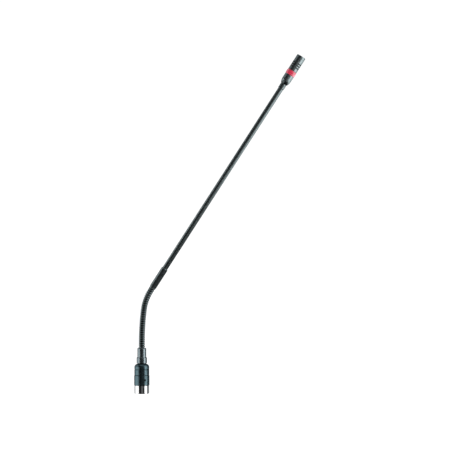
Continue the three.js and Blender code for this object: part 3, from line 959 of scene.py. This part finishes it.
def add_neck():
    """The coil and its cable, cut at the same stations, one stretch for each joint."""
    chain = neck_bodies()
    stretches = len(chain) - 1
    spacing = (COIL_TOP - COIL_BOTTOM) / stretches
    for index in range(stretches):
        bottom = COIL_BOTTOM + index * spacing
        top = bottom + spacing
        coils = [f"neck_coil_{index:02d}"]
        if index == stretches - 1:
            coils.append(LAST_COIL)
        for kind, nodes, skin, inner, rows, columns in (
            ("coil", coils, coil_skin, CABLE_WAY, 44, 56),
            ("cable", ["signal_cable"], cable_skin, 0, 8, 20),
        ):
            name = f"{kind}_{index:02d}"
            mesh = swept_mesh(name, bottom, top, rows, columns, skin, inner)
            piece = stand_in(name, mesh, *nodes)
            neck_point(bottom)
            neck_point(top)
            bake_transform(piece)


def add_neck_ends():
    """What the ferrule and the coupling hide: the coil's two ends and the cable's straight runs."""
    cable_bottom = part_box("signal_cable")[0].z / MM
    cable_top = span("signal_cable", "head").top
    seat = span("neck_coil_00").bottom
    web = span(LAST_COIL).top
    for name, node, bottom, top, skin, inner, rows in (
        ("coil_foot", "neck_coil_00", seat, COIL_BOTTOM, coil_skin, CABLE_WAY, 90),
        ("coil_spigot", LAST_COIL, COIL_TOP, web, spigot_skin, CABLE_WAY, 90),
        ("cable_foot", "signal_cable", cable_bottom, COIL_BOTTOM, cable_skin, 0, 10),
        ("cable_head", "signal_cable", COIL_TOP, cable_top, cable_skin, 0, 20),
    ):
        piece = stand_in(name, swept_mesh(name, bottom, top, rows, 40, skin, inner), node)
        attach(piece, "foot" if bottom < COIL_BOTTOM else "head")


# ---- Coupling sleeve, tube and collar ----

def add_coupling():
    sleeve = span("coupling_sleeve")
    tube = span("neck_tube")
    foot, step, bevel, bevel_height = 4.15, sleeve.bottom + 1.2, 0.45, 0.7
    lower_bore, upper_bore = SPIGOT_RADIUS + GAP, tube.outer + GAP
    web_top = tube.bottom - GAP
    web_bottom = web_top - 1.2
    add_turned("coupling", "coupling_sleeve", [
        (lower_bore, sleeve.bottom, 0.1),
        (foot, sleeve.bottom, 0.15),
        (foot, step, 0.05),
        (sleeve.outer, step, 0.15),
        (sleeve.outer, sleeve.top - bevel_height, 0.2),
        (sleeve.outer - bevel, sleeve.top, 0.12),
        (upper_bore, sleeve.top, 0.05),
        (upper_bore, web_top, 0.1),
        (CABLE_WAY, web_top, 0.1),
        (CABLE_WAY, web_bottom, 0.1),
        (lower_bore, web_bottom, 0.1),
    ])


def add_tube():
    tube = span("neck_tube")
    collar = span("head_collar")
    spigot = collar.inner - GAP
    shoulder = collar.bottom - GAP
    length = shoulder - tube.bottom
    plain = [(tube.outer, tube.bottom + length * share) for share in np.linspace(0.02, 0.98, 40)]
    add_turned("tube", "neck_tube", [
        (tube.inner, tube.bottom, 0.15),
        (tube.outer, tube.bottom, 0.2),
        *plain,
        (tube.outer, shoulder, 0.12),
        (spigot, shoulder, 0.08),
        (spigot, tube.top, 0.15),
        (tube.inner, tube.top, 0.12),
    ])
    add_turned("collar", "head_collar", ring_outline(collar, 0.12, 0.3, 0.3))


# ---- Head ----

def add_head_base():
    base = span("head_base")
    collar = span("head_collar")
    tail = collar.inner - GAP
    shoulder, start, length, floor = collar.top + GAP, 4.25, 6.5, 461.5
    taper = [
        (base.outer - (base.outer - start) * (1 - share) ** 2, shoulder + length * share)
        for share in np.linspace(0, 1, 25)
    ]
    add_turned("base", "head_base", [
        (base.inner, base.bottom, 0.15),
        (tail, base.bottom, 0.2),
        (tail, shoulder, 0.08),
        *taper,
        (base.outer, base.top, 0.18),
        (HEAD_BORE, base.top, 0.08),
        (HEAD_BORE, floor, 0.4),
        (base.inner, floor, 0.15),
    ])


def add_light_ring():
    """A ring with a slightly swollen band, and thin spigots into the pieces above and below it."""
    ring = span("light_ring")
    bottom = span("head_base").top + GAP
    top = span("capsule_housing").bottom - GAP
    spigot, swell = 5.2, 0.12
    edge = ring.outer - swell
    band = [
        (ring.outer - swell * (2 * share - 1) ** 2, bottom + (top - bottom) * share)
        for share in np.linspace(0.08, 0.92, 15)
    ]
    add_turned("ring_band", "light_ring", [
        (ring.inner, ring.bottom, 0.1),
        (spigot, ring.bottom, 0.1),
        (spigot, bottom, 0.08),
        (edge, bottom, 0.4),
        *band,
        (edge, top, 0.4),
        (spigot, top, 0.08),
        (spigot, ring.top, 0.1),
        (ring.inner, ring.top, 0.1),
    ])


# The sound slots, in columns with webs between them: widths and heights, and angles in degrees
SLOT_ROWS, SLOT_COLUMNS = 3, 4
SLOT_HALF_WIDTH = 0.7
SLOT_TURN, WEB_TURN = 62, 28
FIRST_SLOT, SLOT_PITCH = 5.6, 3.0
WEB_ANGLE = -95  # where the middle of one web faces, anticlockwise from +X


def slot_cutter(inner, outer):
    """A round-ended bar that follows the housing's wall, centred on +X at height 0."""
    half = SLOT_HALF_WIDTH
    reach = math.radians(SLOT_TURN / 2)
    end = half / outer
    rise = [(end * (1 - math.cos(a)), half * math.sin(a)) for a in np.radians(range(0, 91, 10))]
    sections = [(-reach + along, height) for along, height in rise]
    sections += [(angle, half) for angle in np.linspace(-reach + end, reach - end, 22)[1:-1]]
    sections += [(reach - along, height) for along, height in reversed(rise)]
    shape = bmesh.new()
    rings = []
    for angle, height in sections:
        ring = [
            shape.verts.new(Vector((radius * math.cos(angle), radius * math.sin(angle), z)) * MM)
            for radius, z in ((inner, -height), (outer, -height), (outer, height), (inner, height))
        ]
        rings.append(ring)
    bridge(shape, rings)
    bmesh.ops.remove_doubles(shape, verts=shape.verts, dist=0.0001 * MM)
    bmesh.ops.dissolve_degenerate(shape, edges=shape.edges, dist=0.0001 * MM)
    return finished(shape, "slot_cutter")


def add_capsule_housing():
    shell = span("capsule_housing")
    lip, ceiling, margin = 4.9, shell.top - 0.8, 1.2
    first = shell.bottom - GAP + FIRST_SLOT
    last = first + SLOT_PITCH * (SLOT_ROWS - 1)
    cutter = slot_cutter(HEAD_BORE - 0.2, shell.outer + 0.5)
    cutters = []
    for row in range(SLOT_ROWS):
        for column in range(SLOT_COLUMNS):
            middle = math.radians(WEB_ANGLE + (column + 0.5) * (SLOT_TURN + WEB_TURN))
            turn = Matrix.Rotation(middle, 4, "Z")
            cutters.append((cutter, moved(z=first + row * SLOT_PITCH) @ turn))
    add_turned("capsule_shell", "capsule_housing", [
        (HEAD_BORE, shell.bottom, 0.08),
        (shell.outer, shell.bottom, 0.18),
        (shell.outer, first - margin),
        (shell.outer, last + margin),
        (shell.outer, shell.top, 0.55),
        (lip, shell.top, 0.12),
        (lip, ceiling, 0.1),
        (HEAD_BORE, ceiling, 0.1),
    ], FINE_SEGMENTS, cutters)


def add_screen():
    screen = span("acoustic_screen")
    add_turned("screen", "acoustic_screen", [
        (screen.inner, screen.bottom),
        (screen.outer, screen.bottom, 0.05),
        (screen.outer, screen.top, 0.05),
        (screen.inner, screen.top),
    ])


def wire_mesh(points, radius, sides=6):
    """A closed round wire through points, all lying in one upright plane."""
    shape = bmesh.new()
    rings = []
    for index, point in enumerate(points):
        ahead = points[min(index + 1, len(points) - 1)] - points[max(index - 1, 0)]
        side = ahead.cross(Vector((0, 0, 1))).normalized()
        up = side.cross(ahead).normalized()
        rings.append([
            shape.verts.new((point + (side * math.cos(a) + up * math.sin(a)) * radius) * MM)
            for a in np.linspace(0, 2 * math.pi, sides, endpoint=False)
        ])
    bridge(shape, rings)
    shape.faces.new(rings[0])
    shape.faces.new(rings[-1])
    return finished(shape, "wire")


def add_grille():
    """Woven wires across the head's mouth, held in a flat rim."""
    grille = span("front_grille")
    pitch, wire, wave = 0.52, 0.1, 0.09
    middle, reach = (grille.bottom + grille.top) / 2, grille.outer - 0.15
    rim = grille._replace(inner=reach - 0.5)
    meshes = [(turned_mesh("grille_rim", ring_outline(rim, 0.05, 0.08, 0.08)), IN_PLACE)]
    count = int(reach / pitch)
    for index in range(-count, count + 1):
        offset = index * pitch
        half = math.sqrt(reach ** 2 - offset ** 2)
        steps = max(4, int(2 * half / (pitch / 2)))
        for turn, sign in ((0.0, 1.0), (math.pi / 2, -1.0)):
            points = []
            for along in np.linspace(-half, half, steps + 1):
                phase = math.pi * (along / pitch + index)
                points.append(Vector((offset, along, middle + sign * wave * math.cos(phase))))
            meshes.append((wire_mesh(points, wire), Matrix.Rotation(turn, 4, "Z")))
    stand_for("grille", join("grille", meshes), "front_grille")


def add_foam():
    """A soft disc with an uneven, open surface."""
    foam = span("front_foam")
    radii = [foam.outer * share for share in np.linspace(0, 1, 26)[:-1]]
    mesh = turned_mesh("foam_disc", [
        *((radius, foam.bottom) for radius in radii),
        (foam.outer, foam.bottom, 0.25),
        (foam.outer, foam.top, 0.25),
        *((radius, foam.top) for radius in reversed(radii)),
    ])
    coarse, fine, depth = 2.4, 6, 0.06
    for vertex in mesh.vertices:
        spot = vertex.co / MM
        lump = noise.noise(spot * coarse) + 0.5 * noise.noise(spot * fine)
        vertex.co.z += depth * MM * min(lump, 0.0)
    stand_for("foam_disc", mesh, "front_foam")


def add_capsule():
    """The closed can with a pressed face, in its rubber ring."""
    can = span("capsule")
    gasket = span("capsule_gasket")
    rim, slope, inlet = 0.3, 0.2, 1.1
    foot, lip = can.outer - 0.7, can.outer - 0.8
    back, face, inlet_floor = can.bottom + rim, can.top - rim, can.top - 0.7
    add_turned("capsule_can", "capsule", [
        (0.0, back),
        (foot - slope, back, 0.1),
        (foot, can.bottom, 0.1),
        (can.outer, can.bottom, 0.3),
        (can.outer, can.top, 0.25),
        (lip, can.top, 0.1),
        (lip - slope, face, 0.1),
        (inlet + 0.1, face, 0.1),
        (inlet, inlet_floor, 0.1),
        (0.0, inlet_floor),
    ])
    add_turned("gasket_ring", "capsule_gasket", ring_outline(gasket, 0.1, 0.15, 0.15))


def dress_frame():
    """Gives every CAD node its slot's material, since some are shown as they are."""
    for node, piece in frame["nodes"].items():
        dress(piece, slots[node])


# ---- Camera, floor and light ----

def add_camera():
    data = bpy.data.cameras.new("camera")
    data.sensor_width, data.lens = 36.0, 135.9
    distance, right, down = 2.2, 0.0068, 0.0016
    centre = (cad_low + cad_high) / 2
    camera = as_object("camera", data)
    camera.location = (centre.x + right, -distance, centre.z - down)
    camera.rotation_euler = (math.pi / 2, 0, 0)
    bpy.context.scene.camera = camera


def add_floor():
    """A plain pale floor, low enough for the bent neck to hang the head down past the plug."""
    drop, radius = 0.45, 40
    shape = bmesh.new()
    bmesh.ops.create_circle(shape, cap_ends=True, segments=96, radius=radius)
    mesh = bpy.data.meshes.new("floor")
    shape.to_mesh(mesh)
    shape.free()
    floor = as_object("floor", mesh)
    floor.location.z = cad_low.z - drop
    surface = Surface("floor", (0.82, 0.82, 0.82), Roughness=0.9, Specular_IOR_Level=0.0)
    surface.tint(surface.between(surface.noise(400.0), 0.0, 0.3), (0.8, 0.8, 0.8))
    surface.shader.inputs["Emission Color"].default_value = (1, 1, 1, 1)
    surface.shader.inputs["Emission Strength"].default_value = 0.95
    floor.data.materials.append(surface.done())
    floor.visible_glossy = False


def add_softbox(name, place, target, size, radiance):
    """A large soft panel, given by how bright its face is."""
    data = bpy.data.lights.new(name, "AREA")
    data.shape, data.size, data.size_y = "RECTANGLE", *size
    data.energy = radiance * math.pi * size[0] * size[1]
    panel = as_object(name, data)
    panel.location = place
    aim = Vector(target) - Vector(place)
    panel.rotation_euler = aim.to_track_quat("-Z", "Y").to_euler()
    panel.visible_camera = False


def add_lights():
    """Bright panels on both sides, two cards lying low on the right, and a panel overhead."""
    side, bright = 0.95, 1.35
    for name, x, y, z, size in (
        ("left_panel", -side, -0.23, -0.02, (1.3, 0.64)),
        ("upper_left_panel", -side, -0.02, 0.77, (0.75, 0.34)),
        ("right_panel", side, -0.4, 0.35, (0.76, 1.2)),
        ("front_right_panel", side, -1.0, 0.6, (0.5, 0.7)),
    ):
        add_softbox(name, (x, y, z), (0, y, z), size, bright)
    for name, x, y, size, radiance in (
        ("front_card", 0.62, -1.05, (0.8, 0.7), 0.4),
        ("back_card", 0.85, 0.5, (0.7, 1.1), 1.0),
    ):
        add_softbox(name, (x, y, 0.01), (x, y, 1.0), size, radiance)
    add_softbox("top_panel", (0.1, -0.1, 1.7), (0.1, 0.0, 0.2), (1.2, 1.2), 0.5)


# How bright the surroundings are above, level with and below the object, as (angle, brightness).
# The angle is in degrees, anticlockwise from the camera as seen from above
ABOVE = [
    (-180, 0.3), (-125, 0.3), (-82, 0.24), (-66, 0.02), (-9, 0.015),
    (-4, 0.12), (22, 0.12), (27, 0.012), (47, 0.012), (52, 0.5), (92, 0.5), (100, 0.2), (180, 0.3),
]
LEVEL = [
    (-180, 0.3), (-112, 0.34), (-106, 0.16), (-54, 0.12), (-48, 0.02), (-9, 0.015),
    (-4, 0.12), (22, 0.12), (27, 0.012), (47, 0.012), (52, 1.0), (84, 1.0), (90, 0.2), (180, 0.3),
]
BELOW = [
    (-180, 0.5), (-125, 0.4), (-82, 0.06), (-42, 0.02), (60, 0.02),
    (92, 0.06), (128, 0.1), (145, 0.45), (180, 0.5),
]


class Surroundings(Nodes):
    """The studio as world nodes: what reflections see, and a white backdrop for the camera."""

    def __init__(self):
        world = bpy.data.worlds.new("studio")
        bpy.context.scene.world = world
        super().__init__(world)
        direction = self.axes("Generated")
        back = self.math("MULTIPLY", direction["Y"], -1.0)
        angle = self.math("ARCTAN2", direction["X"], back)
        share = self.between(angle, 0.0, 1.0, -math.pi, math.pi)
        shade = self.ramp(LEVEL, share)
        for levels, start, end in ((ABOVE, 5, 15), (BELOW, -6, -16)):
            height = self.between(direction["Z"], 0.0, 1.0, *np.sin(np.radians((start, end))))
            shade = self.mix(height, shade, self.ramp(levels, share))
        around = self.nodes["Background"]
        self.links.new(shade, around.inputs["Color"])
        backdrop = self.node("ShaderNodeBackground")
        self.feed(backdrop.inputs, ((1, 1, 1, 1), 1.05))
        rays = self.node("ShaderNodeLightPath")
        seen = rays.outputs["Is Camera Ray"]
        choose = self.node("ShaderNodeMixShader")
        self.feed(choose.inputs, (seen, around.outputs[0], backdrop.outputs[0]))
        self.links.new(choose.outputs[0], self.nodes["World Output"].inputs["Surface"])

    def ramp(self, levels, share):
        """A ring of brightness levels. The first and last are at the ramp's own two end stops."""
        ramp = self.node("ShaderNodeValToRGB")
        self.links.new(share, ramp.inputs[0])
        stops = ramp.color_ramp.elements
        for degrees, _ in levels[1:-1]:
            stops.new((degrees + 180) / 360)
        for stop, (_, level) in zip(stops, levels):
            stop.color = (level * 0.97, level, level * 1.02, 1)
        return ramp.outputs["Color"]


# ---- The scene ----

add_camera()
bpy.context.scene.view_settings.view_transform = "Standard"
add_barrel()
add_insert()
add_pins()
add_lower_shell()
add_ring_and_cap()
add_ferrule()
add_nut()
add_neck()
add_neck_ends()
add_coupling()
add_tube()
add_head_base()
add_light_ring()
add_capsule_housing()
add_screen()
add_capsule()
add_foam()
add_grille()
dress_frame()
add_floor()
add_lights()
Surroundings()
